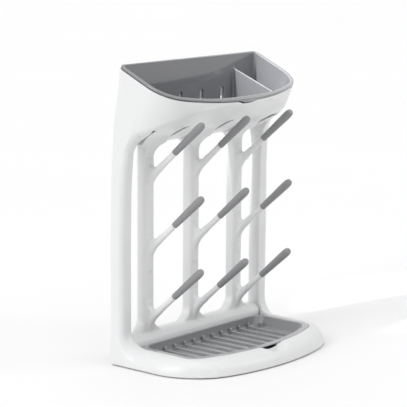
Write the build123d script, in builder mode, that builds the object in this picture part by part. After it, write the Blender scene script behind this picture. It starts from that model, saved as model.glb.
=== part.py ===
from build123d import *
import math
import os

# Bottle drying rack.  Millimetres, +Z up, X to the right seen from the front,
# -Y towards the front.  Origin: centre of the footprint, on the surface the
# rubber feet stand on.

# ---------------------------------------------------------------- dimensions
half_width = 155.0        # base, half of the overall width
back_y = 85.5             # flat back of the whole rack
front_y = -85.5           # foremost point of the bowed front
height = 394.0            # back edge of the top rim
wall = 2.5                # moulded wall thickness
foot_h = 1.3              # how far the feet lift the base

front_r = 350.0           # bow of the front, in plan
front_c = front_y + front_r
base_corner_r = 87.0      # front corners of the base, in plan
base_top = 23.5           # top edge of the base around the tray

pillar_in = 133.0         # inner face of each side pillar
pillar_front = 67.0       # front face of each side pillar
pillar_lap = 3.0
side_bow_z = 150.0        # the sides are upright below this and lean in above
side_bow_r = 2050.0

rim_tilt = 24.5           # the top rim slopes down to the front
rim_back_y = 82.5
rim_half = 141.0          # half width of the rim
rim_corner_r = 45.0
rim_reach = 114.3         # back edge to front edge, along the slope
rim_low_half = 151.8      # half width of the collar low down
rim_drop = 112.0
under_back_z = 286.0      # bottom of the collar at the back
under_mid = (31.5, 311.0)
under_front = (-19.4, 342.6)

lip_half = 129.0          # drip tray lip, half width
lip_corner_r = 30.0
lip_front_r = 323.0
tray_half = 121.0         # drip tray opening, half width
tray_corner_r = 22.0
tray_front_r = 315.0
tray_back = 60.0
tray_back_r = 18.0
lip_top = 22.5
lip_t = 2.0
tray_wall = 2.0
tray_floor = 8.5
rib_pitch = 19.5
rib_count = 11

columns = [("left", -92.2), ("middle", 0.0), ("right", 92.2)]
rows = [("bottom", 0), ("middle", 1), ("top", 2)]
row_pitch = 95.4
tip_end_y, tip_end_z = -19.0, 131.2        # end of a bottom-row tip
peg_angle = 41.26                  # degrees above horizontal, leaning forward
tip_len = 63.9
shaft_r = 3.9
core_r = 2.5
core_len = 56.0
upright_w = 17.0                   # front face; the uprights widen to the back
upright_back_w = 22.0
upright_front = 71.8
upright_back = 85.0
head_half = 27.5
slit = 5.0                         # gap each side of an upright's head
rail_top = 35.5
rail_half = 132.6
rail_front = 62.6
seat_z = 20.5                      # where the tray lip and the rail sit

plate_screws = [(-138.0, 30.0), (138.0, 30.0), (-119.0, -31.0), (119.0, -31.0)]
cover_screws = [(144.0, 60.0), (143.0, 250.0)]       # right pillar, mirrored on the left
rail_screws = [(-62.0, 73.5), (0.0, 73.5), (62.0, 73.5)]
plate_top = foot_h + 2.0

slot_x = [-108.75, -65.25, -21.75, 21.75, 65.25, 108.75]
slot_w = 7.0
slot_top = 350.0
divider_x = 89.5

ca, sa = math.cos(math.radians(peg_angle)), math.sin(math.radians(peg_angle))
ct, st = math.cos(math.radians(rim_tilt)), math.sin(math.radians(rim_tilt))

rim_plane = Plane(origin=(0, rim_back_y, height), x_dir=(1, 0, 0), z_dir=(0, -st, ct))


def d_outline(plane, half, corner_r, bow_r, back, centre, back_r=0.0):
    """Flat back, straight sides, round front corners and a bowed front."""
    cx = half - corner_r
    reach = bow_r - corner_r
    cy = centre - math.sqrt(reach * reach - cx * cx)
    ang = math.atan2(cy - centre, cx)
    tx, ty = bow_r * math.cos(ang), centre + bow_r * math.sin(ang)
    mx, my = cx + corner_r * math.cos(ang / 2), cy + corner_r * math.sin(ang / 2)
    with BuildSketch(plane) as sk:
        with BuildLine():
            Line((half, back), (half, cy))
            ThreePointArc((half, cy), (mx, my), (tx, ty))
            ThreePointArc((tx, ty), (0, centre - bow_r), (-tx, ty))
            ThreePointArc((-tx, ty), (-mx, my), (-half, cy))
            Line((-half, cy), (-half, back))
            Line((-half, back), (half, back))
        make_face()
        if back_r > 0:
            fillet(sk.vertices().group_by(Axis.Y)[-1], back_r)
    return sk.sketch


# the base's sloping wall: share of the way from the footprint to the tray, height
base_profile = [(0.0, foot_h), (0.06, 7.5), (0.18, 12.5), (0.36, 16.5),
                (0.58, 19.8), (0.80, 22.2), (1.0, base_top)]


def base_section(share, z, shrink=0.0):
    lip = 0.8
    half = half_width + (lip_half + lip - half_width) * share - shrink
    corner = base_corner_r + (lip_corner_r + lip - base_corner_r) * share - shrink
    bow = front_r + (lip_front_r + lip - front_r) * share - shrink
    return d_outline(Plane.XY.offset(z), half, corner, bow, back_y - shrink, front_c)


def rim_section(off, grow, back, back_r=0.0):
    """Outline of the collar on a plane parallel to the rim, off below it."""
    share = -off / rim_drop
    half = rim_half + (rim_low_half - rim_half) * share + grow
    return d_outline(rim_plane.offset(off), half, rim_corner_r + 8 * share + grow,
                     front_r + grow, back, -rim_reach + front_r, back_r=back_r)


def under_line(shift, back):
    """Points of the sloping underside, moved up by shift, from the back wall forward."""
    up = shift / math.cos(math.radians(30.0))
    return [(back, under_back_z + shift), (77.5, under_back_z + shift + 0.15 * shift),
            (under_mid[0], under_mid[1] + up), (under_front[0], under_front[1] + up)]


def side_x(z):
    """Half width of the frame at height z."""
    if z <= side_bow_z:
        return half_width
    return half_width - side_bow_r + math.sqrt(side_bow_r ** 2 - (z - side_bow_z) ** 2)


# ------------------------------------------------------------- outer frame
# One moulding: base, both side pillars and the collar that holds the basket.
with BuildPart() as collar_body:
    loft(sections=[rim_section(-2.7, 0.0, 60.0), rim_section(-rim_drop, 0.0, 60.0)], ruled=True)
    with BuildSketch(Plane.YZ):
        with BuildLine():
            Polyline(*under_line(0.0, back_y), (-60.0, 365.0), (-60.0, 460.0),
                     (back_y, 460.0), close=True)
        make_face()
    extrude(amount=200, both=True, mode=Mode.INTERSECT)

with BuildPart() as collar_space:
    loft(sections=[rim_section(2.0, -wall, 60.0), rim_section(-rim_drop, -wall, 60.0)], ruled=True)
    with BuildSketch(Plane.YZ):
        with BuildLine():
            Polyline(*under_line(wall, back_y - wall), (-60.0, 368.0), (-60.0, 460.0),
                     (back_y - wall, 460.0), close=True)
        make_face()
    extrude(amount=200, both=True, mode=Mode.INTERSECT)

with BuildPart() as base_space:
    loft(sections=[base_section(share, z - wall if z > 5 else z - 1.0, shrink=wall)
                   for share, z in base_profile], ruled=True)

# a side pillar: upright slab with a rounded outside, leaning in above
with BuildPart() as pillar:
    with BuildSketch(Plane.XZ.offset(-back_y)):
        with BuildLine():
            Line((half_width - 0.6, 6.0), (half_width, side_bow_z))
            ThreePointArc((half_width, side_bow_z), (side_x(245.0), 245.0), (side_x(340.0), 340.0))
            Line((side_x(340.0), 340.0), (pillar_in - 4.0, 340.0))
            Line((pillar_in - 4.0, 340.0), (pillar_in - 4.0, 299.0))
            Line((pillar_in - 4.0, 299.0), (pillar_in, 287.0))
            Line((pillar_in, 287.0), (pillar_in, 6.0))
            Line((pillar_in, 6.0), (half_width - 0.6, 6.0))
        make_face()
    extrude(amount=back_y - pillar_front)
    fillet(pillar.edges().filter_by(Axis.Z).group_by(Axis.Y)[0].sort_by(Axis.X)[0], 4.0)
    outer = pillar.edges().filter_by(lambda e: e.center().X > half_width - 6
                                     and abs(e.center().Y - pillar_front) < 0.1
                                     and e.length > 100)
    fillet(outer, 8.0)

with BuildPart() as pillar_space:
    with BuildSketch(Plane.XZ.offset(-back_y - 1)):
        with BuildLine():
            Line((half_width - wall - 0.6, 30.0), (half_width - wall, side_bow_z))
            ThreePointArc((half_width - wall, side_bow_z), (side_x(220.0) - wall, 220.0),
                          (side_x(284.0) - wall, 284.0))
            Line((side_x(284.0) - wall, 284.0), (pillar_in + wall, 284.0))
            Line((pillar_in + wall, 284.0), (pillar_in + wall, 30.0))
            Line((pillar_in + wall, 30.0), (half_width - wall - 0.6, 30.0))
        make_face()
    extrude(amount=back_y + 1 - pillar_front - wall)
    fillet(pillar_space.edges().filter_by(lambda e: e.center().X > half_width - 10
                                          and abs(e.center().Y - pillar_front - wall) < 0.1
                                          and e.length > 100), 5.5)

# web that carries each pillar forward into the base in one sweep
with BuildPart() as pillar_web:
    with BuildSketch(Plane.YZ.offset(pillar_in)):
        with BuildLine():
            Line((pillar_front + 3, 60.0), (pillar_front, 60.0))
            Spline((pillar_front, 60.0), (64.5, 42.5), (52.0, 30.5), (32.0, 24.2),
                   tangents=[(0, -1), (-1, -0.12)])
            Line((32.0, 24.2), (32.0, 20.0))
            Line((32.0, 20.0), (pillar_front + 3, 20.0))
            Line((pillar_front + 3, 20.0), (pillar_front + 3, 60.0))
        make_face()
    extrude(amount=half_width - pillar_in)
    with BuildSketch(Plane.XY):
        with BuildLine():
            Line((pillar_in, 90.0), (half_width, 90.0))
            Line((half_width, 90.0), (half_width, 70.0))
            Spline((half_width, 70.0), (152.5, 58.0), (146.0, 46.0), (138.0, 33.0),
                   tangents=[(0, -1), (-0.6, -1)])
            Line((138.0, 33.0), (pillar_in, 30.0))
            Line((pillar_in, 30.0), (pillar_in, 90.0))
        make_face()
    extrude(amount=80, mode=Mode.INTERSECT)

with BuildPart() as head_notch:
    with BuildSketch(Plane.YZ):
        with BuildLine():
            Polyline((back_y + 1, 280.0), (77.5, 280.0), (under_mid[0] - 0.5, 305.0),
                     (under_mid[0] - 0.5, 317.2), (77.5, 291.8), (back_y + 1, 291.8), close=True)
        make_face()
    extrude(amount=head_half + slit, both=True)

# thicker moulding under the finger notch, so that the notch is a closed scoop
with BuildPart() as notch_floor:
    loft(sections=[base_section(share, z) for share, z in base_profile], ruled=True)
    with BuildSketch(Plane.XY.offset(14.0)):
        with Locations((1.0, -71.0)):
            Rectangle(48.0, 26.0)
    extrude(amount=20.0, mode=Mode.INTERSECT)

with BuildPart() as outer_frame:
    loft(sections=[base_section(share, z) for share, z in base_profile], ruled=True)
    add(base_space.part, mode=Mode.SUBTRACT)
    add(notch_floor.part)
    add(pillar.part)
    add(pillar.part.mirror(Plane.YZ))
    add(pillar_web.part)
    add(pillar_web.part.mirror(Plane.YZ))
    # the recess that takes the tray lip, and the ledge under it
    extrude(d_outline(Plane.XY.offset(seat_z), lip_half + 0.8, lip_corner_r + 0.8,
                      lip_front_r + 0.8, rail_front, front_c), amount=40, mode=Mode.SUBTRACT)
    # the seat of the peg rack's rail
    with BuildSketch(Plane.XY.offset(seat_z)):
        with Locations((0, (rail_front - 1 + back_y + 1) / 2)):
            Rectangle(2 * pillar_in - 0.1, back_y - rail_front + 2)
    extrude(amount=60, mode=Mode.SUBTRACT)
    extrude(d_outline(Plane.XY.offset(seat_z - wall), lip_half + 2.0, lip_corner_r + 2.0,
                      lip_front_r + 2.0, back_y, front_c), amount=wall)
    # the hole the tray hangs through
    extrude(d_outline(Plane.XY.offset(10), tray_half + tray_wall + 0.8, tray_corner_r + tray_wall + 0.8,
                      tray_front_r + tray_wall + 0.8, tray_back + tray_wall + 0.3, front_c,
                      back_r=tray_back_r), amount=20, mode=Mode.SUBTRACT)
    # collar
    add(collar_body.part)
    add(collar_space.part, mode=Mode.SUBTRACT)
    add(pillar_space.part, mode=Mode.SUBTRACT)
    add(pillar_space.part.mirror(Plane.YZ), mode=Mode.SUBTRACT)
    # notches in the underside for the three heads of the peg rack
    for name, x in columns:
        add(head_notch.part.moved(Location((x, 0, 0))), mode=Mode.SUBTRACT)
    # slots through the back of the collar, in line with the basket's
    for x in slot_x:
        with BuildSketch(Plane.XZ.offset(-back_y - 1)):
            with Locations((x, (300.0 + slot_top - 10.0) / 2)):
                SlotOverall(slot_top - 10.0 - 300.0, slot_w, rotation=90)
        extrude(amount=wall + 2, mode=Mode.SUBTRACT)
    # finger notch in the front of the base
    with BuildSketch(Plane.XZ.offset(54.0)):
        with Locations((1.0, 18.3 + 60.0)):
            Circle(60.0)
    extrude(amount=40.0, mode=Mode.SUBTRACT)
    # finger notch in the front of the collar
    with BuildSketch(Plane.XZ.offset(0.0)):
        with Locations((-1.0, 340.5 + 46.0)):
            Circle(46.0)
    extrude(amount=40.0, mode=Mode.SUBTRACT)
    # bosses for the base plate's screws
    with BuildSketch(Plane.XY.offset(plate_top)):
        with Locations(*plate_screws):
            Circle(4.0)
    extrude(amount=seat_z - wall + 0.5 - plate_top)
    with BuildSketch(Plane.XY.offset(plate_top)):
        with Locations(*plate_screws):
            Circle(1.3)
    extrude(amount=11.0, mode=Mode.SUBTRACT)
    # holes for the screws that hold the rail down
    with BuildSketch(Plane.XY.offset(seat_z + 1)):
        with Locations(*rail_screws):
            Circle(1.6)
    extrude(amount=-6.0, mode=Mode.SUBTRACT)
    # bosses for the pillar covers' screws
    for side in (-1, 1):
        with BuildSketch(Plane.XZ.offset(-(back_y - 2.4))):
            with Locations(*[(side * px, pz) for px, pz in cover_screws]):
                Circle(3.5)
        extrude(amount=back_y - 2.4 - pillar_front - wall + 0.5)
        with BuildSketch(Plane.XZ.offset(-(back_y - 2.4))):
            with Locations(*[(side * px, pz) for px, pz in cover_screws]):
                Circle(1.3)
        extrude(amount=9.5, mode=Mode.SUBTRACT)
outer_frame.part.label = "outer_frame"

# ------------------------------------------------------------ pillar covers
# Strips that close the open backs of the hollow pillars.
with BuildPart() as pillar_cover_left:
    with BuildSketch(Plane.XZ.offset(-back_y + 0.4)):
        with BuildLine():
            Line((half_width - wall - 0.9, 30.4), (half_width - wall - 0.3, side_bow_z))
            ThreePointArc((half_width - wall - 0.3, side_bow_z), (side_x(220.0) - wall - 0.3, 220.0),
                          (side_x(283.6) - wall - 0.3, 283.6))
            Line((side_x(283.6) - wall - 0.3, 283.6), (pillar_in + wall + 0.3, 283.6))
            Line((pillar_in + wall + 0.3, 283.6), (pillar_in + wall + 0.3, 30.4))
            Line((pillar_in + wall + 0.3, 30.4), (half_width - wall - 0.9, 30.4))
        make_face()
    extrude(amount=2.0)
    with Locations(*[Plane(origin=(px, back_y - 0.4, pz), z_dir=(0, 1, 0)) for px, pz in cover_screws]):
        CounterSinkHole(radius=1.6, counter_sink_radius=3.0, depth=4)
    mirror(about=Plane.YZ, mode=Mode.REPLACE)
pillar_cover_left.part.label = "pillar_cover_left"

with BuildPart() as pillar_cover_right:
    add(pillar_cover_left.part.mirror(Plane.YZ))
pillar_cover_right.part.label = "pillar_cover_right"

# ---------------------------------------------------------------- base plate
with BuildPart() as base_plate:
    extrude(d_outline(Plane.XY.offset(foot_h + 0.2), half_width - wall - 1.4, base_corner_r - wall - 1.4,
                      front_r - wall - 1.4, back_y - wall - 0.5, front_c), amount=1.8)
    with BuildSketch(Plane.XY):
        with Locations(*plate_screws):
            Circle(1.6)
    extrude(amount=10, mode=Mode.SUBTRACT)
base_plate.part.label = "base_plate"

# ------------------------------------------------------------------ peg rack
# One moulding: bottom rail, three uprights with flared heads, nine pegs.
tip_axis = (0.0, -ca, sa)
with BuildPart() as rack_keep:
    with BuildSketch(Plane.YZ):
        with BuildLine():
            Polyline((upright_back, seat_z), (upright_back, under_back_z + 3.0),
                     (77.5, under_back_z + 3.4), (under_mid[0], under_mid[1] + 3.3),
                     (under_mid[0], under_mid[1] - 0.4), (under_mid[0], seat_z), close=True)
        make_face()
    extrude(amount=rail_half, both=True)

with BuildPart() as rail:
    with BuildSketch(Plane.YZ):
        with BuildLine():
            Line((upright_back, seat_z), (upright_back, rail_top))
            Line((upright_back, rail_top), (76.0, rail_top))
            Spline((76.0, rail_top), (68.5, 33.2), (64.2, 29.0), (rail_front, 23.0),
                   tangents=[(-1, 0), (0, -1)])
            Line((rail_front, 23.0), (rail_front, seat_z))
            Line((rail_front, seat_z), (upright_back, seat_z))
        make_face()
    extrude(amount=rail_half, both=True)

def upright_outline(half, y):
    """Outline of an upright seen from the front, at depth y."""
    with BuildSketch(Plane.XZ.offset(-y)) as sk:
        with BuildLine():
            Line((half, 55.0), (half, 268.0))
            ThreePointArc((half, 268.0), (half + 0.3 * (head_half - half), 281.5), (head_half, 289.0))
            Line((head_half, 289.0), (head_half, 330.0))
            Line((head_half, 330.0), (-head_half, 330.0))
            Line((-head_half, 330.0), (-head_half, 289.0))
            ThreePointArc((-head_half, 289.0), (-half - 0.3 * (head_half - half), 281.5), (-half, 268.0))
            Line((-half, 268.0), (-half, 55.0))
            ThreePointArc((-half, 55.0), (-half - 5.6, 40.6), (-half - 19.0, rail_top - 1.0))
            Line((-half - 19.0, rail_top - 1.0), (-half - 19.0, 24.0))
            Line((-half - 19.0, 24.0), (half + 19.0, 24.0))
            Line((half + 19.0, 24.0), (half + 19.0, rail_top - 1.0))
            ThreePointArc((half + 19.0, rail_top - 1.0), (half + 5.6, 40.6), (half, 55.0))
        make_face()
    return sk.sketch


with BuildPart() as column:
    # upright, flaring into the rail below and the head above
    half = upright_w / 2
    loft(sections=[upright_outline(upright_back_w / 2, upright_back), upright_outline(half, upright_front)],
         ruled=True)
    # head plate, flush with the collar's underside
    with BuildSketch(Plane.YZ.offset(-head_half)):
        with BuildLine():
            Polyline((upright_back, under_back_z - 0.2), (77.5, under_back_z - 0.2),
                     (under_mid[0], under_mid[1] - 0.4), (under_mid[0], under_mid[1] + 3.0),
                     (77.5, under_back_z + 3.2), (upright_back, under_back_z + 2.8), close=True)
        make_face()
    extrude(amount=2 * head_half)
    # sweep from the upright's front edge into the head plate
    with BuildSketch(Plane.YZ.offset(-half)):
        with BuildLine():
            Line((upright_front + 2, 262.0), (upright_front, 262.0))
            ThreePointArc((upright_front, 262.0), (65.0, 282.5), (47.0, 301.5))
            Line((47.0, 301.5), (47.0, 304.0))
            Line((47.0, 304.0), (upright_front + 2, 292.0))
            Line((upright_front + 2, 292.0), (upright_front + 2, 262.0))
        make_face()
    extrude(amount=2 * half)
    add(rack_keep.part, mode=Mode.INTERSECT)

peg_back = (upright_front + 6.0 - (tip_end_y + tip_len * ca)) / ca      # shaft behind the tip

with BuildPart() as peg:
    # shaft and the thinner core that carries the soft tip, about +Z
    Cylinder(radius=shaft_r, height=peg_back, align=(Align.CENTER, Align.CENTER, Align.MAX))
    Cylinder(radius=core_r, height=core_len, align=(Align.CENTER, Align.CENTER, Align.MIN))
    fillet(peg.edges().group_by(Axis.Z)[-1], 2.0)

# concave webs above and below the root of a peg, in the row frame
root_z = tip_end_z - tip_len * sa - (upright_front - (tip_end_y + tip_len * ca)) * sa / ca
low_z = root_z - shaft_r / ca
high_z = root_z + shaft_r / ca
low_t = 15.0
high_t = 13.0
with BuildPart() as peg_web:
    with BuildSketch(Plane.YZ.offset(-3.4)):
        with BuildLine():
            Line((upright_front + 3, low_z - low_t), (upright_front, low_z - low_t))
            TangentArc((upright_front, low_z - low_t), (upright_front - low_t * ca, low_z + low_t * sa),
                       tangent=(0, 1))
            Line((upright_front - low_t * ca, low_z + low_t * sa),
                 (upright_front - low_t * ca + 3 * sa, low_z + low_t * sa + 3 * ca))
            Line((upright_front - low_t * ca + 3 * sa, low_z + low_t * sa + 3 * ca),
                 (upright_front - high_t * ca - 3 * sa, high_z + high_t * sa - 3 * ca))
            Line((upright_front - high_t * ca - 3 * sa, high_z + high_t * sa - 3 * ca),
                 (upright_front - high_t * ca, high_z + high_t * sa))
            TangentArc((upright_front - high_t * ca, high_z + high_t * sa), (upright_front, high_z + high_t),
                       tangent=(ca, -sa))
            Line((upright_front, high_z + high_t), (upright_front + 3, high_z + high_t))
            Line((upright_front + 3, high_z + high_t), (upright_front + 3, low_z - low_t))
        make_face()
    extrude(amount=6.8)

with BuildPart() as peg_rack:
    add(rail.part)
    for name, x in columns:
        add(column.part.moved(Location((x, 0, 0))))
        for level, n in rows:
            start = (x, tip_end_y + tip_len * ca, tip_end_z - tip_len * sa + n * row_pitch)
            add(peg.part.moved(Plane(origin=start, x_dir=(1, 0, 0), z_dir=tip_axis).location))
            add(peg_web.part.moved(Location((x, 0, n * row_pitch))))
    with BuildSketch(Plane.XY.offset(seat_z)):
        with Locations(*rail_screws):
            Circle(1.3)
    extrude(amount=9.0, mode=Mode.SUBTRACT)
peg_rack.part.label = "peg_rack"

# ----------------------------------------------------------------- soft tips
# Closed rubber sleeves, thin at the neck and fuller towards the rounded end.
with BuildPart() as soft_tip:
    with BuildSketch(Plane.XZ):
        with BuildLine():
            Line((0, core_len), (core_r - 2.0, core_len))
            RadiusArc((core_r - 2.0, core_len), (core_r, core_len - 2.0), 2.0)
            Line((core_r, core_len - 2.0), (core_r, 0))
            Line((core_r, 0), (3.8, 0))
            Line((3.8, 0), (4.25, 0.5))
            Spline((4.25, 0.5), (4.55, 15.0), (5.1, 38.0), (5.4, 52.0), (5.1, 58.6), (3.3, 62.7),
                   (0.0, tip_len), tangents=[(0.02, 1), (-1, 0)])
            Line((0, tip_len), (0, core_len))
        make_face()
    revolve(axis=Axis.Z)

tips = []
for name, x in columns:
    for level, n in rows:
        start = (x, tip_end_y + tip_len * ca, tip_end_z - tip_len * sa + n * row_pitch)
        with BuildPart() as tip:
            add(soft_tip.part.moved(Plane(origin=start, x_dir=(1, 0, 0), z_dir=tip_axis).location))
        tip.part.label = "tip_" + name + "_" + level
        tips.append(tip.part)

# -------------------------------------------------------------------- basket
b_gap = 1.0
b_wall = 2.2
b_lift = 4.0          # clearance under the basket, for the heads of the rack
b_back = back_y - wall - 1.2


def basket_section(off, grow):
    """The basket narrows a little downwards, so it lifts straight out."""
    share = -off / rim_drop
    return d_outline(rim_plane.offset(off), rim_half - 4.0 * share + grow, rim_corner_r + grow,
                     front_r + grow, 60.0, -rim_reach + front_r)


with BuildPart() as basket_body:
    loft(sections=[basket_section(-1.0, -wall - b_gap), basket_section(-rim_drop, -wall - b_gap)],
         ruled=True)
    with BuildSketch(Plane.YZ):
        with BuildLine():
            Polyline(*under_line(wall + b_lift, b_back), (-60.0, 374.0), (-60.0, 460.0),
                     (b_back, 460.0), close=True)
        make_face()
    extrude(amount=200, both=True, mode=Mode.INTERSECT)

with BuildPart() as basket_space:
    loft(sections=[basket_section(3.0, -wall - b_gap - b_wall),
                   basket_section(-rim_drop, -wall - b_gap - b_wall)], ruled=True)
    with BuildSketch(Plane.YZ):
        with BuildLine():
            Polyline(*under_line(wall + b_lift + b_wall, b_back - b_wall), (-60.0, 377.0), (-60.0, 460.0),
                     (b_back - b_wall, 460.0), close=True)
        make_face()
    extrude(amount=200, both=True, mode=Mode.INTERSECT)

with BuildPart() as divider:
    with BuildSketch(Plane.YZ.offset(divider_x - 1.1)):
        with BuildLine():
            Polyline((b_back, 280.0), (b_back, 374.4), (-30.0, 330.0), (-30.0, 280.0), close=True)
        make_face()
    extrude(amount=2.2)
    add(basket_body.part, mode=Mode.INTERSECT)

with BuildPart() as basket:
    add(basket_body.part)
    # lip that rests on the collar's edge
    extrude(rim_section(-2.5, -0.3, 0.4, back_r=9.0), amount=2.5)
    add(basket_space.part, mode=Mode.SUBTRACT)
    extrude(d_outline(rim_plane.offset(-1.5), rim_half - wall - b_gap - b_wall,
                      rim_corner_r - wall - b_gap - b_wall, front_r - wall - b_gap - b_wall,
                      (b_back - b_wall - rim_back_y) / ct - 0.6, -rim_reach + front_r),
            amount=10, mode=Mode.SUBTRACT)
    # divider that parts off the narrow compartment
    add(divider.part)
    for x in slot_x:
        with BuildSketch(Plane.XZ.offset(-b_back - 1)):
            with Locations((x, (296.5 + slot_top) / 2)):
                SlotOverall(slot_top - 296.5, slot_w, rotation=90)
        extrude(amount=b_wall + 2, mode=Mode.SUBTRACT)
    # small finger tab turned down over the collar's notch
    with BuildSketch(Plane.XZ.offset(18.4)):
        with BuildLine():
            Line((-16.0, 346.0), (14.0, 346.0))
            ThreePointArc((14.0, 346.0), (-1.0, 341.6), (-16.0, 346.0))
        make_face()
    extrude(amount=2.2)
basket.part.label = "basket"

# ----------------------------------------------------------------- drip tray
with BuildPart() as drip_tray:
    tray_depth = lip_top - tray_floor + tray_wall
    floor_z = tray_floor - tray_wall
    draft = 8.0
    loft(sections=[
        d_outline(Plane.XY.offset(lip_top), tray_half + tray_wall, tray_corner_r + tray_wall,
                  tray_front_r + tray_wall, tray_back + tray_wall, front_c, back_r=tray_back_r + tray_wall),
        d_outline(Plane.XY.offset(floor_z), tray_half + tray_wall - draft, tray_corner_r + tray_wall - draft,
                  tray_front_r + tray_wall - draft, tray_back + tray_wall - 2.0, front_c,
                  back_r=tray_back_r + tray_wall - 2.0)], ruled=True)
    extrude(d_outline(Plane.XY.offset(lip_top - lip_t), lip_half, lip_corner_r, lip_front_r,
                      tray_back + tray_wall, front_c, back_r=10.0), amount=lip_t)
    loft(sections=[
        d_outline(Plane.XY.offset(lip_top), tray_half, tray_corner_r, tray_front_r, tray_back, front_c,
                  back_r=tray_back_r),
        d_outline(Plane.XY.offset(tray_floor), tray_half - draft, tray_corner_r - draft,
                  tray_front_r - draft, tray_back - 2.0, front_c, back_r=tray_back_r - 2.0)],
         ruled=True, mode=Mode.SUBTRACT)
    # ribs that keep things out of the water, each with a nib at its back end
    for i in range(rib_count):
        x = (i - (rib_count - 1) / 2) * rib_pitch
        y_front = front_c - math.sqrt((tray_front_r - draft) ** 2 - x * x) + 2.0
        if abs(x) > 90:
            y_front += 3.0
        with BuildSketch(Plane.XY.offset(tray_floor)):
            with Locations((x, (y_front + tray_back - 3.5) / 2)):
                SlotOverall(tray_back - 3.5 - y_front, 3.6, rotation=90)
        extrude(amount=2.6)
        with BuildSketch(Plane.XY.offset(tray_floor)):
            with Locations((x, tray_back - 4.0)):
                Circle(1.7)
        extrude(amount=6.5)
    # pouring nib at the back corners of the tray
    with BuildSketch(Plane.XY.offset(tray_floor)):
        with Locations((tray_half - 9.5, 44.0), (-tray_half + 9.5, 44.0)):
            Circle(3.4)
    extrude(amount=9.0)
drip_tray.part.label = "drip_tray"

# --------------------------------------------------------- feet and fasteners
feet = []
for name, fx, fy in [("front_left", -95.0, -52.0), ("front_right", 95.0, -52.0),
                     ("back_left", -135.0, 68.0), ("back_right", 135.0, 68.0)]:
    with BuildPart() as foot:
        with BuildSketch(Plane.XY):
            with Locations((fx, fy)):
                Circle(8.0)
        extrude(amount=foot_h + 0.2)
        fillet(foot.edges().group_by(Axis.Z)[0], 0.8)
    foot.part.label = "foot_" + name
    feet.append(foot.part)

# pan-head screw, head down, the shank's start at the origin
with BuildPart() as pan_screw:
    with BuildSketch(Plane.XZ):
        with BuildLine():
            Line((0, -1.3), (1.6, -1.3))
            ThreePointArc((1.6, -1.3), (2.6, -0.95), (2.9, 0))
            Line((2.9, 0), (1.2, 0))
            Line((1.2, 0), (1.2, 8.0))
            Line((1.2, 8.0), (0.4, 9.0))
            Line((0.4, 9.0), (0, 9.0))
            Line((0, 9.0), (0, -1.3))
        make_face()
    revolve(axis=Axis.Z)
    with BuildSketch(Plane.XY.offset(-1.3)):
        Rectangle(2.6, 0.5)
        Rectangle(0.5, 2.6)
    extrude(amount=0.7, mode=Mode.SUBTRACT)

# countersunk screw along +Y, its flat head at the origin
with BuildPart() as flat_screw:
    with BuildSketch(Plane.XY):
        with BuildLine():
            Line((0, 0), (2.8, 0))
            Line((2.8, 0), (1.2, -1.55))
            Line((1.2, -1.55), (1.2, -9.0))
            Line((1.2, -9.0), (0.4, -10.0))
            Line((0.4, -10.0), (0, -10.0))
            Line((0, -10.0), (0, 0))
        make_face()
    revolve(axis=Axis.Y)
    with BuildSketch(Plane.XZ):
        Rectangle(2.6, 0.5)
        Rectangle(0.5, 2.6)
    extrude(amount=0.8, mode=Mode.SUBTRACT)

with BuildPart() as base_screws:
    for px, py in plate_screws:
        add(pan_screw.part.moved(Location((px, py, foot_h + 0.2))))
base_screws.part.label = "base_screws"

with BuildPart() as rail_fixings:
    for px, py in rail_screws:
        add(pan_screw.part.moved(Location((px, py, seat_z - wall))))
rail_fixings.part.label = "rail_screws"

with BuildPart() as cover_fixings:
    for px, pz in cover_screws:
        for side in (-1, 1):
            add(flat_screw.part.moved(Location((side * px, back_y - 0.45, pz))))
cover_fixings.part.label = "cover_screws"

os.makedirs("parts", exist_ok=True)
export_step(outer_frame.part, "parts/outer_frame.step")
export_step(pillar_cover_left.part, "parts/pillar_cover_left.step")
export_step(pillar_cover_right.part, "parts/pillar_cover_right.step")
export_step(base_plate.part, "parts/base_plate.step")
export_step(peg_rack.part, "parts/peg_rack.step")
export_step(basket.part, "parts/basket.step")
export_step(drip_tray.part, "parts/drip_tray.step")
export_step(base_screws.part, "parts/base_screws.step")
export_step(rail_fixings.part, "parts/rail_screws.step")
export_step(cover_fixings.part, "parts/cover_screws.step")
for piece in tips + feet:
    export_step(piece, "parts/" + piece.label + ".step")
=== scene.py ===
import bpy
import math
import time
import numpy as np
from mathutils import Matrix, Vector


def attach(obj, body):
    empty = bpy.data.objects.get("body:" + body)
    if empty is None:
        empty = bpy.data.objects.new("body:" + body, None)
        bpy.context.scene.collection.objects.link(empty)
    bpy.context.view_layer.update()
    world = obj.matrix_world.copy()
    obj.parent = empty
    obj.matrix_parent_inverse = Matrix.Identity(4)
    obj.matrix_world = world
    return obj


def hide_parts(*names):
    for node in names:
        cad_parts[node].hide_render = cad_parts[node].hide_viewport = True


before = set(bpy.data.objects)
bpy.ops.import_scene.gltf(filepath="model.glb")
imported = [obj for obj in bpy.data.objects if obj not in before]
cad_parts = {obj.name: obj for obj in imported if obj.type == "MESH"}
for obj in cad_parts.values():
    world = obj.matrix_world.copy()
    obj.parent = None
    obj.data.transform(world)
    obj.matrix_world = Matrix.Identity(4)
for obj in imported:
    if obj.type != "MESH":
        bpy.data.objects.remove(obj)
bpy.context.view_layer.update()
T0 = time.time()

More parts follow.
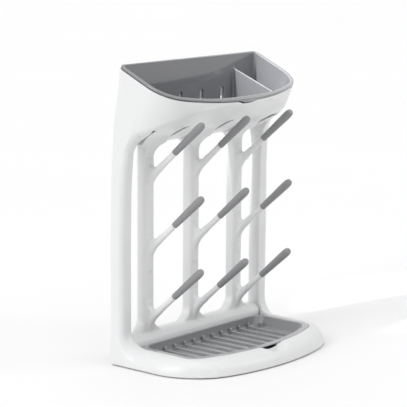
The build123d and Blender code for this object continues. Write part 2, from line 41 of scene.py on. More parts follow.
# ---------------------------------------------------------------- dimensions
# millimetres, the same as the design's
HALF, BACK, FRONT_R, FRONT_C = 155.0, 85.5, 350.0, 264.5
BASE_RC, BASE_TOP, FOOT_H = 87.0, 23.5, 1.3
PILLAR_IN, PILLAR_FRONT = 133.0, 67.0
TILT = math.radians(24.5)
CT, ST = math.cos(TILT), math.sin(TILT)
RIM_Y, RIM_Z = 82.5, 394.0
RIM_REACH = 114.3
COLS = 92.2
PITCH = 95.4
PEG = math.radians(41.26)
CA, SA = math.cos(PEG), math.sin(PEG)
TIP_Y, TIP_Z, TIP_LEN = -19.0, 131.2, 63.9
SEAT = 20.5
WALL = 2.5
SLOTS = (21.75, 65.25, 108.75)


# ------------------------------------------------------------ distance fields
def rmax(a, b, r):
    """Intersection with a round edge of radius r."""
    return np.minimum(np.maximum(a, b), -r) + np.hypot(np.maximum(a + r, 0), np.maximum(b + r, 0))


def rmin(a, b, r):
    """Union with a round fillet of radius r."""
    return -rmax(-a, -b, r)


def cut(a, b, r):
    """a without b, the new edge rounded."""
    return rmax(a, -b, r)


def sstep(t):
    t = np.clip(t, 0, 1)
    return t * t * (3 - 2 * t)


def dshape(x, y, half, rc, R, c):
    """Plan outline: straight sides, round front corners and a bowed front."""
    ax = np.abs(x)
    cx = half - rc
    cy = c - np.sqrt((R - rc) ** 2 - cx * cx)
    bow = np.hypot(ax, y - c) - R
    cor = np.hypot(ax - cx, y - cy) - rc
    in_cor = (ax * (c - cy) > (c - y) * cx) & (y < cy)
    return np.where(in_cor, cor, np.maximum(bow, ax - half))


def poly_sd(px, py, pts):
    """Signed distance to a closed polygon, negative inside."""
    px, py = np.broadcast_arrays(px, py)
    d = np.full(px.shape, 1e9)
    inside = np.zeros(px.shape, bool)
    n = len(pts)
    for i in range(n):
        ax, ay = pts[i]
        bx, by = pts[(i + 1) % n]
        ex, ey = bx - ax, by - ay
        wx, wy = px - ax, py - ay
        t = np.clip((wx * ex + wy * ey) / (ex * ex + ey * ey), 0, 1)
        d = np.minimum(d, (wx - ex * t) ** 2 + (wy - ey * t) ** 2)
        if ay != by:
            cross = ((ay > py) != (by > py)) & (px < (bx - ax) * (py - ay) / (by - ay) + ax)
            inside ^= cross
    d = np.sqrt(d)
    return np.where(inside, -d, d)


def smooth_line(pts, n=4):
    """Points along a smooth line through pts."""
    p = np.array(pts, float)
    p = np.vstack([2 * p[0] - p[1], p, 2 * p[-1] - p[-2]])
    out = []
    for i in range(1, len(p) - 2):
        for t in np.linspace(0, 1, n, endpoint=False):
            a, b, c, d = p[i - 1], p[i], p[i + 1], p[i + 2]
            out.append(tuple(0.5 * (2 * b + (c - a) * t + (2 * a - 5 * b + 4 * c - d) * t * t
                                    + (3 * b - a - 3 * c + d) * t ** 3)))
    out.append(tuple(p[-2]))
    return out


def box_sd(x, lo, hi):
    return np.maximum(lo - x, x - hi)


# ---------------------------------------------------------------- surfacing
def surface(fn, lo, hi, h):
    """Closed mesh of fn = 0 as points (mm) and quads, on a grid of pitch h."""
    lo = np.array(lo, float) - 1.5 * h + 0.013
    n = np.ceil((np.array(hi, float) + 1.5 * h - lo) / h).astype(int) + 1
    B = 20
    F = np.full(tuple(n), 9.0, np.float32)
    ax = [lo[i] + h * np.arange(n[i]) for i in range(3)]
    reach = 0.5 * B * h * math.sqrt(3) * 1.35 + 3
    starts = [list(range(0, n[i], B)) for i in range(3)]
    cx = np.array([ax[0][min(i + B // 2, n[0] - 1)] for i in starts[0]])[:, None, None]
    cy = np.array([ax[1][min(i + B // 2, n[1] - 1)] for i in starts[1]])[None, :, None]
    cz = np.array([ax[2][min(i + B // 2, n[2] - 1)] for i in starts[2]])[None, None, :]
    C = fn(cx, cy, cz)
    for a, i in enumerate(starts[0]):
        for b, j in enumerate(starts[1]):
            for c, k in enumerate(starts[2]):
                s = (slice(i, min(i + B, n[0])), slice(j, min(j + B, n[1])), slice(k, min(k + B, n[2])))
                if abs(C[a, b, c]) > reach:
                    F[s] = C[a, b, c]
                else:
                    F[s] = fn(ax[0][s[0]][:, None, None], ax[1][s[1]][None, :, None], ax[2][s[2]][None, None, :])
    inside = F < 0
    cells = np.zeros(tuple(n - 1), np.uint8)
    for dx in (0, 1):
        for dy in (0, 1):
            for dz in (0, 1):
                cells += inside[dx:n[0] - 1 + dx, dy:n[1] - 1 + dy, dz:n[2] - 1 + dz]
    act = (cells > 0) & (cells < 8)
    I = np.argwhere(act)
    idx = np.full(act.shape, -1, np.int32)
    idx[act] = np.arange(len(I))
    pos = np.zeros((len(I), 3))
    cnt = np.zeros(len(I))
    for axis in range(3):
        o1, o2 = [o for o in range(3) if o != axis]
        for u in (0, 1):
            for v in (0, 1):
                a = I.copy()
                a[:, o1] += u
                a[:, o2] += v
                b = a.copy()
                b[:, axis] += 1
                fa = F[a[:, 0], a[:, 1], a[:, 2]].astype(float)
                fb = F[b[:, 0], b[:, 1], b[:, 2]].astype(float)
                m = (fa < 0) != (fb < 0)
                t = fa[m] / (fa[m] - fb[m])
                p = np.zeros((m.sum(), 3))
                p[:, axis] = t
                p[:, o1] = u
                p[:, o2] = v
                pos[m] += p
                cnt[m] += 1
    P = (pos / cnt[:, None] + I) * h + lo
    quads = []
    for axis in range(3):
        o1, o2 = [(1, 2), (2, 0), (0, 1)][axis]
        sa = [slice(None)] * 3
        sb = [slice(None)] * 3
        sa[axis] = slice(0, -1)
        sb[axis] = slice(1, None)
        A, Bn = inside[tuple(sa)], inside[tuple(sb)]
        E = np.argwhere(A != Bn)
        ok = (E[:, o1] > 0) & (E[:, o2] > 0) & (E[:, o1] < n[o1] - 1) & (E[:, o2] < n[o2] - 1)
        E = E[ok]
        flip = A[E[:, 0], E[:, 1], E[:, 2]]
        q = []
        for u, v in ((-1, -1), (0, -1), (0, 0), (-1, 0)):
            c = E.copy()
            c[:, o1] += u
            c[:, o2] += v
            q.append(idx[c[:, 0], c[:, 1], c[:, 2]])
        q = np.stack(q, 1)
        q[~flip] = q[~flip][:, ::-1]
        quads.append(q)
    Q = np.vstack(quads)
    # settle the points on the surface itself
    e = 0.04
    for step in range(2):
        x, y, z = P[:, 0], P[:, 1], P[:, 2]
        f0 = fn(x, y, z)
        g = np.stack([fn(x + e, y, z) - f0, fn(x, y + e, z) - f0, fn(x, y, z + e) - f0], 1) / e
        g2 = np.maximum((g * g).sum(1), 0.25)
        mv = -g * (f0 / g2)[:, None]
        ln = np.linalg.norm(mv, axis=1)
        mv *= np.minimum(1, 0.3 * h / np.maximum(ln, 1e-9))[:, None]
        P = P + mv
    return P, Q


def biggest(P, Q):
    """Keeps the pieces of the mesh that are more than crumbs."""
    lab = np.arange(len(P))
    while True:
        m = lab[Q].min(1)
        new = lab.copy()
        for k in range(4):
            np.minimum.at(new, Q[:, k], m)
        new = new[new]
        if (new == lab).all():
            break
        lab = new
    ids, cnt = np.unique(lab, return_counts=True)
    keep = set(ids[cnt > 0.02 * len(P)])
    km = np.isin(lab, list(keep))
    Q = Q[km[Q].all(1)]
    remap = np.cumsum(km) - 1
    return P[km], remap[Q]


def mesh_object(name, P, Q, body, nodes, mat, smooth=True):
    me = bpy.data.meshes.new(name)
    me.from_pydata((P / 1000.0).tolist(), [], Q.tolist())
    me.validate()
    me.update()
    if smooth:
        me.shade_smooth()
    ob = bpy.data.objects.new(name, me)
    bpy.context.scene.collection.objects.link(ob)
    ob.data.materials.append(mat)
    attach(ob, body)
    if nodes:
        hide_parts(*nodes)
    return ob


# ----------------------------------------------------------------- materials
def material(name, color, rough, rough_var, bump, grain, color_var=0.02, spec=0.5, coat=0.0,
             metal=0.0, sheen=0.0, mottle=0.03, sss=0.0, coat_rough=0.18,
             crease_shade=0.965, edge_highlight=1.03):
    """Moulded material: fine grain in the bump, slow changes in colour and gloss."""
    m = bpy.data.materials.new(name)
    m.use_nodes = True
    nt = m.node_tree
    nt.nodes.clear()
    N, L = nt.nodes.new, nt.links.new
    out = N("ShaderNodeOutputMaterial")
    bs = N("ShaderNodeBsdfPrincipled")
    L(bs.outputs["BSDF"], out.inputs["Surface"])
    geo = N("ShaderNodeNewGeometry")
    tc = N("ShaderNodeTexCoord")
    slow = N("ShaderNodeTexNoise")
    slow.inputs["Scale"].default_value = 9.0
    slow.inputs["Detail"].default_value = 3.0
    L(tc.outputs["Object"], slow.inputs["Vector"])
    fine = N("ShaderNodeTexNoise")
    fine.inputs["Scale"].default_value = grain
    fine.inputs["Detail"].default_value = 2.0
    L(tc.outputs["Object"], fine.inputs["Vector"])
    peel = N("ShaderNodeTexNoise")
    peel.inputs["Scale"].default_value = 160.0
    peel.inputs["Detail"].default_value = 1.0
    L(tc.outputs["Object"], peel.inputs["Vector"])
    # colour: slow mottling, with painted shade in creases and a painted highlight on convex edges, both driven by
    # pointiness
    ramp = N("ShaderNodeMapRange")
    ramp.inputs["To Min"].default_value = 1.0 - mottle
    ramp.inputs["To Max"].default_value = 1.0 + mottle * 0.4
    L(slow.outputs["Fac"], ramp.inputs["Value"])
    grainc = N("ShaderNodeMapRange")
    grainc.inputs["To Min"].default_value = 1.0 - color_var
    grainc.inputs["To Max"].default_value = 1.0 + color_var
    L(fine.outputs["Fac"], grainc.inputs["Value"])
    # painted shade in concave creases and painted highlight on convex edges and ribs, scaled by the crease and ridge
    # factors
    pointiness_shade = N("ShaderNodeMapRange")
    pointiness_shade.inputs["From Min"].default_value = 0.44
    pointiness_shade.inputs["From Max"].default_value = 0.56
    pointiness_shade.inputs["To Min"].default_value = crease_shade
    pointiness_shade.inputs["To Max"].default_value = edge_highlight
    L(geo.outputs["Pointiness"], pointiness_shade.inputs["Value"])
    mul = N("ShaderNodeMath")
    mul.operation = "MULTIPLY"
    L(ramp.outputs["Result"], mul.inputs[0])
    L(grainc.outputs["Result"], mul.inputs[1])
    mul2 = N("ShaderNodeMath")
    mul2.operation = "MULTIPLY"
    L(mul.outputs["Value"], mul2.inputs[0])
    L(pointiness_shade.outputs["Result"], mul2.inputs[1])
    col = N("ShaderNodeVectorMath")
    col.operation = "SCALE"
    col.inputs[0].default_value = color
    L(mul2.outputs["Value"], col.inputs["Scale"])
    L(col.outputs["Vector"], bs.inputs["Base Color"])
    # roughness: slow variation plus fine scuffs
    rr = N("ShaderNodeMapRange")
    rr.inputs["To Min"].default_value = rough - rough_var
    rr.inputs["To Max"].default_value = rough + rough_var
    mixn = N("ShaderNodeMath")
    mixn.operation = "MULTIPLY_ADD"
    mixn.inputs[1].default_value = 0.35
    L(fine.outputs["Fac"], mixn.inputs[0])
    half = N("ShaderNodeMath")
    half.operation = "MULTIPLY"
    half.inputs[1].default_value = 0.65
    L(slow.outputs["Fac"], half.inputs[0])
    L(half.outputs["Value"], mixn.inputs[2])
    L(mixn.outputs["Value"], rr.inputs["Value"])
    L(rr.outputs["Result"], bs.inputs["Roughness"])
    # bump: fine grain over a faint moulded ripple
    b1 = N("ShaderNodeBump")
    b1.inputs["Strength"].default_value = bump
    b1.inputs["Distance"].default_value = 0.00006
    L(fine.outputs["Fac"], b1.inputs["Height"])
    b2 = N("ShaderNodeBump")
    b2.inputs["Strength"].default_value = 0.10
    b2.inputs["Distance"].default_value = 0.0002
    L(peel.outputs["Fac"], b2.inputs["Height"])
    L(b1.outputs["Normal"], b2.inputs["Normal"])
    L(b2.outputs["Normal"], bs.inputs["Normal"])
    bs.inputs["Specular IOR Level"].default_value = spec
    bs.inputs["Metallic"].default_value = metal
    bs.inputs["Coat Weight"].default_value = coat
    bs.inputs["Coat Roughness"].default_value = coat_rough
    bs.inputs["Sheen Weight"].default_value = sheen
    bs.inputs["Sheen Roughness"].default_value = 0.5
    if sss:
        bs.inputs["Subsurface Weight"].default_value = sss
        bs.inputs["Subsurface Radius"].default_value = (1.0, 0.9, 0.8)
        bs.inputs["Subsurface Scale"].default_value = 0.002
    return m


white = material("white_plastic_mat", (0.74, 0.744, 0.748), 0.34, 0.06, 0.25, 1500.0,
                 color_var=0.006, mottle=0.012, coat=0.08)
# the grey basket carries strong painted shade in its creases and painted highlights on its rims and edges
grey = material("grey_plastic_mat", (0.132, 0.135, 0.143), 0.12, 0.04, 0.12, 1300.0, color_var=0.03, mottle=0.04,
                coat=1.0, coat_rough=0.05, spec=0.6, crease_shade=0.72, edge_highlight=1.65)
# the tray carries even stronger painted shade in its creases and painted highlights along its ribs, nibs and lip
tray_grey = material("tray_plastic_mat", (0.208, 0.211, 0.220), 0.12, 0.04, 0.12, 1300.0, color_var=0.03,
                     mottle=0.04, coat=1.0, coat_rough=0.05, spec=0.6, crease_shade=0.55, edge_highlight=1.75)
soft = material("soft_tip_mat", (0.250, 0.250, 0.257), 0.42, 0.08, 0.8, 1700.0, color_var=0.09, mottle=0.06,
                spec=0.5, sheen=0.06)
rubber = material("foot_rubber_mat", (0.10, 0.10, 0.105), 0.75, 0.08, 0.9, 1200.0, color_var=0.08, mottle=0.08,
                  spec=0.3)
steel = material("screw_steel_mat", (0.62, 0.62, 0.64), 0.32, 0.10, 0.5, 900.0, color_var=0.05, mottle=0.06,
                 metal=1.0)


# --------------------------------------------------------------- outer frame
PROFILE = smooth_line([(0.0, -6.0), (0.0, 2.0), (0.25, 5.0), (1.1, 8.6), (3.4, 13.4), (7.2, 17.7),
                       (12.4, 21.0), (18.4, 22.9), (25.4, 23.6)], 4) + [(60.0, 24.6), (400.0, 24.6), (400.0, -6.0)]
ARC_R, ARC_Z = 2050.0, 150.0


def side_low(z):
    zz = np.maximum(z - ARC_Z, 0)
    return HALF - 0.6 * np.clip((ARC_Z - z) / 144.0, 0, 1) - ARC_R + np.sqrt(ARC_R ** 2 - zz * zz)


def rim_vw(y, z):
    return (y - RIM_Y) * CT + (z - RIM_Z) * ST, -(y - RIM_Y) * ST + (z - RIM_Z) * CT


def collar_half(w):
    return 141.0 + 10.8 * np.clip(-w / 112.0, -0.1, 1.15)


def side_at(y, z):
    """Half width of the outer side face, one smooth surface from base to collar."""
    v, w = rim_vw(y, z)
    k = sstep((z - 235.0) / 70.0)
    return side_low(z) * (1 - k) + collar_half(w) * k


def collar_outline(x, v, w, shrink=0.0):
    share = np.clip(-w / 112.0, -0.1, 1.15)
    return dshape(x, v, 141.0 + 10.8 * share - shrink, 45.0 + 8.0 * share - shrink, FRONT_R - shrink,
                  FRONT_R - RIM_REACH)


def under(y, z, up=0.0):
    """Distance below the collar's sloping underside, moved up by up."""
    n1 = 286.0 + up - z
    k2, k3 = 25.0 / 46.0, 31.6 / 50.9
    n2 = (311.0 - z + (31.5 - y) * k2) / math.hypot(1, k2) + up
    n3 = (342.6 - z + (-19.4 - y) * k3) / math.hypot(1, k3) + up
    return np.maximum(rmax(n1, n2, 5.0), n3)


def base_sd(x, y, z):
    d0 = dshape(x, y, HALF, BASE_RC, FRONT_R, FRONT_C)
    d1 = dshape(x, y, 129.8, 30.8, 323.8, FRONT_C)
    inset = -d0 / np.maximum(d1 - d0, 8.0) * 25.4
    # far from the wall the two outlines stop telling the depth
    inset = np.where(d0 < -40, 45.0, inset)
    return poly_sd(inset, z, PROFILE)


def head_edge(x, y, gap):
    """Distance outside the edge of the nearest head; gap takes in the slit beside it."""
    n = np.clip(np.round(x / COLS), -1, 1)
    xh = x - n * COLS
    outward = (n * xh) > 0
    t = np.clip((84.0 - y) / 58.0, 0, 1)
    half = np.where(outward, 19.5 + 11.5 * t, 22.0 + 6.0 * t)
    if gap:
        half = half + np.where(outward, 2.2 + 7.8 * t, 2.4 + 3.4 * t)
    return np.abs(xh) - half


def outer_sd(x, y, z):
    ax = np.abs(x)
    v, w = rim_vw(y, z)
    zmin, zmax = float(np.min(z)), float(np.max(z))
    side = ax - side_at(y, z)
    # pillar: flat front face, soft outer corner
    zf = np.clip(z, 0, 300)
    yf = PILLAR_FRONT - 0.8 * sstep((zf - 150) / 80) - 5.5 * sstep((zf - 215) / 95) ** 1.3
    pil = rmax(yf - y, PILLAR_IN - ax, 2.5)
    pil = rmax(pil, side, 8.5)
    pil = np.maximum(pil, z - 335.0)
    out = pil
    if zmin < 100:
        base = base_sd(x, y, z)
        out = rmin(base, out, 24.0)
    if zmax > 225:
        D = collar_outline(x, v, w)
        U = under(y, z)
        r = 1.6 + 15.0 * sstep((v + 106.0) / 76.0)
        col = rmax(D, U, r)
        out = rmin(out, col, 15.0)
        # the window between pillar and rack keeps its square top
        out = np.maximum(out, rmin(col, PILLAR_IN - ax, 2.0))
    out = rmax(out, side + 0.0, 0.8)
    back_r = 1.2 + 8.8 * sstep((z - 318.0) / 50.0)
    out = rmax(out, np.maximum(side, y - BACK), 0.3) if zmax < 300 else np.maximum(out, rmax(side, y - BACK, back_r))
    out = rmax(out, y - BACK, 1.2)
    out = np.maximum(out, FOOT_H - z)
    if zmin < 130:
        if zmin < 40:
            hollow = np.maximum(base + WALL, y - (BACK - WALL))
            # solid under the finger notch
            hollow = np.maximum(hollow, -np.maximum(np.maximum(np.abs(x - 1.0) - 24.0, y + 58.0), 14.0 - z))
            out = np.maximum(out, -hollow)
        # recess for the tray's lip and seat for the rack's rail
        rec = np.maximum(np.maximum(dshape(x, y, 129.8, 30.8, 323.8, FRONT_C), y - 63.0), SEAT - z)
        out = np.where(z < 130, cut(out, rec, 0.7), out)
        seat = np.maximum(np.maximum(ax - (PILLAR_IN - 0.05), 61.6 - y), SEAT - z)
        out = np.where(z < 130, cut(out, seat, 0.1), out)
        if zmin < 40:
            ledge = np.maximum(dshape(x, y, 131.0, 32.0, 325.0, FRONT_C), box_sd(z, SEAT - WALL, SEAT))
            ledge = np.maximum(ledge, y - BACK + 0.3)
            out = np.minimum(out, ledge)
            hole = rmax(dshape(x, y, 123.8, 24.8, 317.8, FRONT_C), y - 62.3, 18.0)
            out = cut(out, np.maximum(hole, box_sd(z, 10, 30)), 0.4)
            # finger notch in the front
            notch = np.maximum(np.hypot(x - 1.0, z - 58.6) - 42.0, y + 54.0)
            out = cut(out, notch, 1.4)
    if zmax > 270:
        cav = rmax(collar_outline(x, v, w, WALL), under(y, z, WALL), 4.0)
        cav = rmax(cav, y - (BACK - WALL), np.maximum(back_r - WALL, 1.5))
        out = cut(out, cav, 0.6)
        out = rmax(out, w + 3.7, 1.1)
        # notches for the rack's heads
        hd = np.maximum(head_edge(x, y, True), 31.0 - y)
        hd = np.maximum(hd, -under(y, z, 6.0))
        out = cut(out, np.maximum(hd, 275.0 - z), 0.4)
        # slots through the back
        for s in SLOTS:
            zz = np.clip(z, 303.5, 334.5)
            sl = np.maximum(np.hypot(ax - s, z - zz) - 3.5, 80.0 - y)
            out = cut(out, sl, 0.4)
        out = cut(out, np.maximum(np.hypot(x + 1.0, z - 386.5) - 46.0, y), 1.2)
    # hollow pillar, closed by a cover at the back
    if zmax > 25 and zmin < 290:
        ps = rmax(ax - (side_at(y, z) - WALL), PILLAR_FRONT + WALL + 1 - y, 7.0)
        ps = rmax(ps, PILLAR_IN + WALL - ax, 2.0)
        ps = np.maximum(ps, box_sd(z, 30.0, 284.0))
        out = cut(out, ps, 0.4)
    return out


# ------------------------------------------------------------------ peg rack
UF = 71.8
ROOT_Z = TIP_Z - TIP_LEN * SA - (UF - (TIP_Y + TIP_LEN * CA)) * SA / CA
LOW_Z, HIGH_Z = ROOT_Z - 3.9 / CA, ROOT_Z + 3.9 / CA


def arc_between(p, dp, q, n):
    """Points of the arc that leaves p along dp and reaches q."""
    p, q = np.array(p, float), np.array(q, float)
    dp = np.array(dp, float) / math.hypot(*dp)
    nrm = np.array((-dp[1], dp[0]))
    m = q - p
    r = (m @ m) / (2 * (m @ nrm))
    c = p + nrm * r
    a0 = math.atan2(*(p - c)[::-1])
    a1 = math.atan2(*(q - c)[::-1])
    turn = (a1 - a0 + math.pi) % (2 * math.pi) - math.pi
    return [tuple(c + abs(r) * np.array((math.cos(a0 + turn * t), math.sin(a0 + turn * t))))
            for t in np.linspace(0, 1, n)]


LT, HT = 23.0, 19.0
WEB = ([(UF + 4, LOW_Z - LT), (UF, LOW_Z - LT)]
       + arc_between((UF, LOW_Z - LT), (0, 1), (UF - LT * CA, LOW_Z + LT * SA), 9)[1:]
       + [(UF - LT * CA - 4, LOW_Z + LT * SA + 4 * SA / CA), (UF - LT * CA - 4, HIGH_Z + LT * SA + 4 * SA / CA - 0.4)]
       + arc_between((UF - HT * CA, HIGH_Z + HT * SA), (CA, -SA), (UF, HIGH_Z + HT), 9)
       + [(UF + 4, HIGH_Z + HT)])

RAIL = ([(85.0, 20.5), (85.0, 35.5), (76.0, 35.5)]
        + smooth_line([(76.0, 35.5), (70.5, 34.4), (66.2, 31.0), (63.6, 26.8), (62.6, 22.5)], 3)[1:]
        + [(62.6, 20.5)])
Q0 = TIP_Z + TIP_Y * SA / CA


def rack_sd(x, y, z):
    xc = COLS * np.clip(np.round(x / COLS), -1, 1)
    lx = np.abs(x - xc)
    zmin, zmax = float(np.min(z)), float(np.max(z))
    # outline seen from the front: uprights that flare into the rail and the heads
    U1 = (lx - (8.5 + 2.5 * np.clip((y - UF) / 13.2, 0, 1))) * 0.985
    edge = 2.6
    if zmin < 90:
        U1 = rmin(U1, z - 35.5, 21.0)
    if zmax > 230:
        top = np.maximum(lx - 60.0, 288.0 - z)
        outward = (x - xc) * xc > 0
        U1 = np.where(outward, rmin(U1, top, 7.0), rmin(U1, top, 20.0))
        U1 = np.maximum(U1, head_edge(x, y, False))
        edge = 2.6 - 2.1 * sstep((z - 266.0) / 22.0)
    U1 = np.maximum(U1, np.abs(x) - 132.85)
    # outline seen from the side: upright front that sweeps forward under the collar
    prof = UF - y
    if zmax > 230:
        prof = rmin(prof, under(y, z, 1.3 * sstep((y - 31.0) / 5.0)), 22.0)
    out = rmax(U1, prof, edge)
    if zmin < 60:
        rl = poly_sd(y, z, RAIL)
        rl = rmax(rl, np.abs(x) - 132.85, 0.1)
        out = rmin(out, rl, 2.5)
    if zmax > 230:
        out = np.maximum(out, -under(y, z, 3.4))
        out = np.maximum(out, 31.1 - y)
    # pegs
    yy, zz = np.broadcast_arrays(y, z)
    n = np.clip(np.round((zz + yy * SA / CA - Q0) / PITCH), 0, 2)
    zl = zz - n * PITCH
    web = rmax(poly_sd(yy, zl, WEB), lx - 4.6, 3.8)
    # along the peg and across it
    a = -(yy - TIP_Y) * CA + (zl - TIP_Z) * SA + TIP_LEN
    b = (yy - TIP_Y) * SA + (zl - TIP_Z) * CA
    rad = np.hypot(lx, b)
    swell = 3.95 + 0.6 * sstep((-a - 10) / 40)
    shaft = np.maximum(np.maximum(rad - swell, a + 0.15), -a - 80.0)
    core = np.maximum(rad - 2.5, np.maximum(a - 30.0, -a - 5.0))
    pg = rmin(np.minimum(shaft, core), web, 1.5)
    pg = np.maximum(pg, yy - 76.0)
    out = rmin(out, pg, 4.5)
    out = rmax(out, y - 85.0, 1.0)
    out = np.maximum(out, 20.6 - z)
    out = np.maximum(out, np.abs(x) - 132.85)
    return out


# -------------------------------------------------------------------- basket
B_BACK = BACK - WALL - 1.2
B_WALL = 2.2
DIV_X = 89.5


def basket_outline(x, v, w, shrink):
    share = np.clip(-w / 112.0, -0.1, 1.15)
    return dshape(x, v, 141.0 - 4.0 * share - shrink, 45.0 - shrink, FRONT_R - shrink, FRONT_R - RIM_REACH)


def basket_sd(x, y, z):
    ax = np.abs(x)
    v, w = rim_vw(y, z)
    body = rmax(basket_outline(x, v, w, WALL + 1.0), under(y, z, WALL + 4.0), 5.0)
    back_r = 1.2 + 8.8 * sstep((z - 318.0) / 50.0)
    body = rmax(body, y - B_BACK, np.maximum(back_r - 3.5, 2.0))
    body = np.maximum(body, w + 1.0)
    lip = collar_outline(x, v, w, 0.3)
    lip = rmax(lip, v - 0.4, 9.5)
    lip = rmax(lip, w, 0.8)
    lip = np.maximum(lip, -w - 2.5)
    tab = np.maximum(np.hypot(x + 1.0, z - 386.5) - 44.7, box_sd(y, -30.0, -18.2))
    tab = np.maximum(tab, collar_outline(x, v, w, 0.4))
    tab = np.maximum(tab, -20.4 - y)
    out = rmin(body, lip, 1.2)
    out = np.minimum(out, rmax(np.maximum(tab, y + 18.3), box_sd(z, 341.6, 349.0), 0.6))
    cav = rmax(basket_outline(x, v, w, WALL + 1.0 + B_WALL), under(y, z, WALL + 4.0 + B_WALL), 5.0)
    cav = rmax(cav, y - (B_BACK - B_WALL), 4.5)
    out = cut(out, cav, 0.9)
    # divider, its top edge sloping down to the front
    topz = 370.1 - 0.40 * (70.3 - y)
    div = np.maximum(np.abs(x - DIV_X) - 1.25, (z - topz) / 1.077)
    div = rmax(np.abs(x - DIV_X) - 1.25, (z - topz) / 1.077, 1.0)
    keep = np.maximum(body, -0.8 - 0 * y - (-0.8) + w + 2.0)
    div = np.maximum(div, keep)
    out = rmin(out, div, 2.6)
    out = np.maximum(out, w)
    for s in SLOTS:
        zz = np.clip(z, 300.0, 346.5)
        sl = np.maximum(np.hypot(ax - s, z - zz) - 3.5, 74.0 - y)
        out = cut(out, sl, 0.7)
    return out


# ----------------------------------------------------------------- drip tray
LIP_TOP, TRAY_FLOOR = 22.5, 8.5


def tray_sd(x, y, z):
    ax = np.abs(x)
    k = np.clip((LIP_TOP - z) / 14.0, 0, 1.15)
    cavity = rmax(dshape(x, y, 121.0 - 8 * k, 22.0 - 6 * k, 315.0 - 8 * k, FRONT_C), y - (60.0 - 2 * k), 17.0)
    cavity = rmax(cavity * 0.87, TRAY_FLOOR - z, 3.2)
    solid = rmax(dshape(x, y, 123.0 - 8 * k, 24.0 - 6 * k, 317.0 - 8 * k, FRONT_C), y - (61.8 - 2 * k), 19.0)
    solid = rmax(solid * 0.87, TRAY_FLOOR - 2.0 - z, 3.6)
    solid = np.maximum(solid, z - LIP_TOP)
    lip = rmax(dshape(x, y, 129.0, 30.0, 323.0, FRONT_C), y - 61.9, 10.0)
    lip = rmax(lip, z - LIP_TOP, 0.9)
    lip = np.maximum(lip, SEAT + 0.2 - z)
    out = rmin(solid, lip, 1.0)
    out = cut(out, cavity, 1.1)
    # ribs with a small nib at the back end of each
    i = np.clip(np.round(x / 19.5), -5, 5)
    lx = np.abs(x - i * 19.5)
    yf = FRONT_C - np.sqrt(307.0 ** 2 - (i * 19.5) ** 2) + 5.0 + 3.0 * (np.abs(i) > 4)
    yc = np.clip(y, yf, 53.5)
    rib = np.hypot(np.hypot(lx, y - yc), (z - TRAY_FLOOR - 0.9) * 0.95) - 1.9
    nib = np.hypot(np.hypot(lx, y - 56.0), z - np.clip(z, 8.0, 13.6)) - 1.7
    big = np.hypot(np.hypot(ax - 111.8, y - 44.0), z - np.clip(z, 7.0, 13.6)) - 3.3
    out = rmin(out, rib, 1.2)
    out = rmin(out, nib, 1.0)
    out = rmin(out, big, 1.6)
    return out


H = 1.15
P, Q = surface(outer_sd, (-155.2, -85.8, 1.3), (155.2, 85.6, 393.0), H)
P, Q = biggest(P, Q)
outer_frame_shell = mesh_object("outer_frame_shell", P, Q, "stand", ["outer_frame"], white)
print("outer", len(P), round(time.time() - T0, 1))

H = 1.0
P, Q = surface(rack_sd, (-132.9, -14.0, 20.5), (132.9, 85.2, 318.2), H)
P, Q = biggest(P, Q)
peg_rack_body = mesh_object("peg_rack_body", P, Q, "stand", ["peg_rack"], white)
print("rack", len(P), round(time.time() - T0, 1))

H = 0.9
P, Q = surface(basket_sd, (-141.2, -21.5, 290.0), (141.2, 85.5, 394.2), H)
P, Q = biggest(P, Q)
basket_shell = mesh_object("basket_shell", P, Q, "basket_body", ["basket"], grey)
print("basket", len(P), round(time.time() - T0, 1))

P, Q = surface(tray_sd, (-129.2, -58.6, 6.4), (129.2, 62.1, 22.6), H)
P, Q = biggest(P, Q)
drip_tray_shell = mesh_object("drip_tray_shell", P, Q, "tray_body", ["drip_tray"], tray_grey)
print("tray", len(P), round(time.time() - T0, 1))


# ----------------------------------------------------------------- soft tips
def tip_mesh():
    """A turned sleeve: a thin rolled neck, swelling towards the domed end."""
    prof = [(2.55, 3.0), (2.55, 0.5), (2.9, 0.12), (3.6, 0.0), (3.98, 0.12), (4.22, 0.45), (4.3, 0.9), (4.34, 1.6)]
    body = smooth_line([(4.34, 1.6), (4.55, 12.0), (4.85, 25.0), (5.15, 38.0), (5.38, 48.0), (5.4, 53.5),
                        (5.2, 57.6), (4.55, 60.7), (3.3, 62.7), (1.7, 63.6)], 5)[1:]
    prof += body + [(0.0, TIP_LEN - 0.05)]
    seg = 56
    P, Q = [], []
    for r, a in prof[:-1]:
        for k in range(seg):
            t = 2 * math.pi * k / seg
            P.append((r * math.cos(t), r * math.sin(t), a))
    n = len(prof) - 1
    for i in range(n - 1):
        for k in range(seg):
            k2 = (k + 1) % seg
            Q.append((i * seg + k, i * seg + k2, (i + 1) * seg + k2, (i + 1) * seg + k))
    top = len(P)
    P.append((0, 0, prof[-1][1]))
    for k in range(seg):
        Q.append(((n - 1) * seg + k, (n - 1) * seg + (k + 1) % seg, top))
    bot = len(P)
    P.append((0, 0, 3.0))
    for k in range(seg):
        Q.append(((k + 1) % seg, k, bot))
    return np.array(P), Q


TP, TQ = tip_mesh()
for col, cx in (("left", -COLS), ("middle", 0.0), ("right", COLS)):
    for lev, n in (("bottom", 0), ("middle", 1), ("top", 2)):
        start = np.array((cx, TIP_Y + TIP_LEN * CA, TIP_Z - TIP_LEN * SA + n * PITCH))
        ez = np.array((0.0, -CA, SA))
        ex = np.array((1.0, 0.0, 0.0))
        ey = np.cross(ez, ex)
        pts = start + TP[:, :1] * ex + TP[:, 1:2] * ey + TP[:, 2:] * ez
        me = bpy.data.meshes.new("soft_tip_%s_%s" % (col, lev))
        me.from_pydata((pts / 1000).tolist(), [], [tuple(q) for q in TQ])
        me.update()
        me.shade_smooth()
        ob = bpy.data.objects.new(me.name, me)
        bpy.context.scene.collection.objects.link(ob)
        ob.data.materials.append(soft)
        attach(ob, "stand")
        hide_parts("tip_%s_%s" % (col, lev))

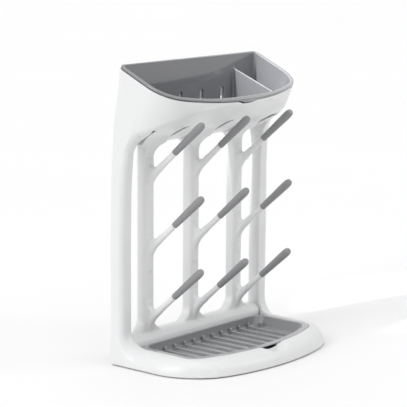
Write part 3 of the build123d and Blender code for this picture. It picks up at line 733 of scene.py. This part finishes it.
# ------------------------------------------------------- CAD nodes that stay
LOOK = {"pillar_cover_left": white, "pillar_cover_right": white, "base_plate": white,
        "base_screws": steel, "rail_screws": steel, "cover_screws": steel,
        "foot_front_left": rubber, "foot_front_right": rubber, "foot_back_left": rubber, "foot_back_right": rubber}
for node, mat in LOOK.items():
    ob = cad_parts[node]
    if not ob.material_slots:
        ob.data.materials.append(mat)
    for s in ob.material_slots:
        s.material = mat

# --------------------------------------------------- floor, light and camera
bpy.ops.mesh.primitive_circle_add(vertices=96, radius=9.0, fill_type="NGON", location=(0, 0, 0))
floor = bpy.context.object
floor.name = "floor_disc"
fm = bpy.data.materials.new("floor_mat")
fm.use_nodes = True
nt = fm.node_tree
bs = nt.nodes["Principled BSDF"]
bs.inputs["Roughness"].default_value = 0.55
bs.inputs["Specular IOR Level"].default_value = 0.25
tc = nt.nodes.new("ShaderNodeTexCoord")
nz = nt.nodes.new("ShaderNodeTexNoise")
nz.inputs["Scale"].default_value = 1.5
mr = nt.nodes.new("ShaderNodeMapRange")
mr.inputs["To Min"].default_value = 0.855
mr.inputs["To Max"].default_value = 0.875
cb = nt.nodes.new("ShaderNodeCombineColor")
nt.links.new(tc.outputs["Object"], nz.inputs["Vector"])
nt.links.new(nz.outputs["Fac"], mr.inputs["Value"])
for k in ("Red", "Green", "Blue"):
    nt.links.new(mr.outputs["Result"], cb.inputs[k])
nt.links.new(cb.outputs["Color"], bs.inputs["Base Color"])
floor.data.materials.append(fm)

world = bpy.data.worlds.new("studio_world")
bpy.context.scene.world = world
world.use_nodes = True
wt = world.node_tree
wb = wt.nodes["Background"]
tcw = wt.nodes.new("ShaderNodeTexCoord")
dot = wt.nodes.new("ShaderNodeVectorMath")
dot.operation = "DOT_PRODUCT"
dot.inputs[1].default_value = (0.45, 0.75, 0.05)
mrw = wt.nodes.new("ShaderNodeMapRange")
mrw.inputs["From Min"].default_value = -0.9
mrw.inputs["From Max"].default_value = 0.5
mrw.inputs["To Min"].default_value = 0.29
mrw.inputs["To Max"].default_value = 0.85
wt.links.new(tcw.outputs["Generated"], dot.inputs[0])
wt.links.new(dot.outputs["Value"], mrw.inputs["Value"])
wt.links.new(mrw.outputs["Result"], wb.inputs["Strength"])
wb.inputs["Color"].default_value = (1, 1, 1, 1)


def sun(name, direction, strength, angle):
    ld = bpy.data.lights.new(name, "SUN")
    ld.energy = strength
    ld.angle = math.radians(angle)
    ob = bpy.data.objects.new(name, ld)
    bpy.context.scene.collection.objects.link(ob)
    ob.rotation_euler = Vector(direction).to_track_quat("-Z", "Y").to_euler()
    ob.location = (0, 0, 2)
    return ob


sun("top_soft", (0.15, 0.30, -1.0), 0.90, 75)
sun("key_left", (0.9, -0.12, -0.50), 1.25, 35)
sun("front_right", (-0.55, 0.62, -0.55), 0.30, 20)
sun("front_low", (0.15, 0.97, -0.12), 0.24, 30)

# a narrow lamp from the left that picks out the right end of the basket
sd = bpy.data.lights.new("basket_spot", "SPOT")
sd.energy = 440.0
sd.spot_size = math.radians(7.0)
sd.spot_blend = 0.8
sd.shadow_soft_size = 0.09
spot = bpy.data.objects.new("basket_spot", sd)
bpy.context.scene.collection.objects.link(spot)
spot.location = (-0.925, 0.20, 1.57)
spot.rotation_euler = (Vector((0.120, 0.028, 0.368)) - Vector(spot.location)).to_track_quat("-Z", "Y").to_euler()

C = Vector((-1.84049, -1.48687, 0.62359))
r, u, b = Vector((0.643628, -0.765312, 0.006332)), Vector((0.129418, 0.116987, 0.984665)), Vector((-0.754317, -0.632939, 0.174342))
cd = bpy.data.cameras.new("photo_camera")
cd.lens = 160.07
cd.sensor_width = 36.0
cd.clip_start = 0.05
cd.clip_end = 60
cam = bpy.data.objects.new("photo_camera", cd)
bpy.context.scene.collection.objects.link(cam)
cam.matrix_world = Matrix(((r.x, u.x, b.x, C.x), (r.y, u.y, b.y, C.y), (r.z, u.z, b.z, C.z), (0, 0, 0, 1)))
bpy.context.scene.camera = cam
bpy.context.scene.view_settings.view_transform = "Standard"

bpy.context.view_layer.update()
print("script", round(time.time() - T0, 1))
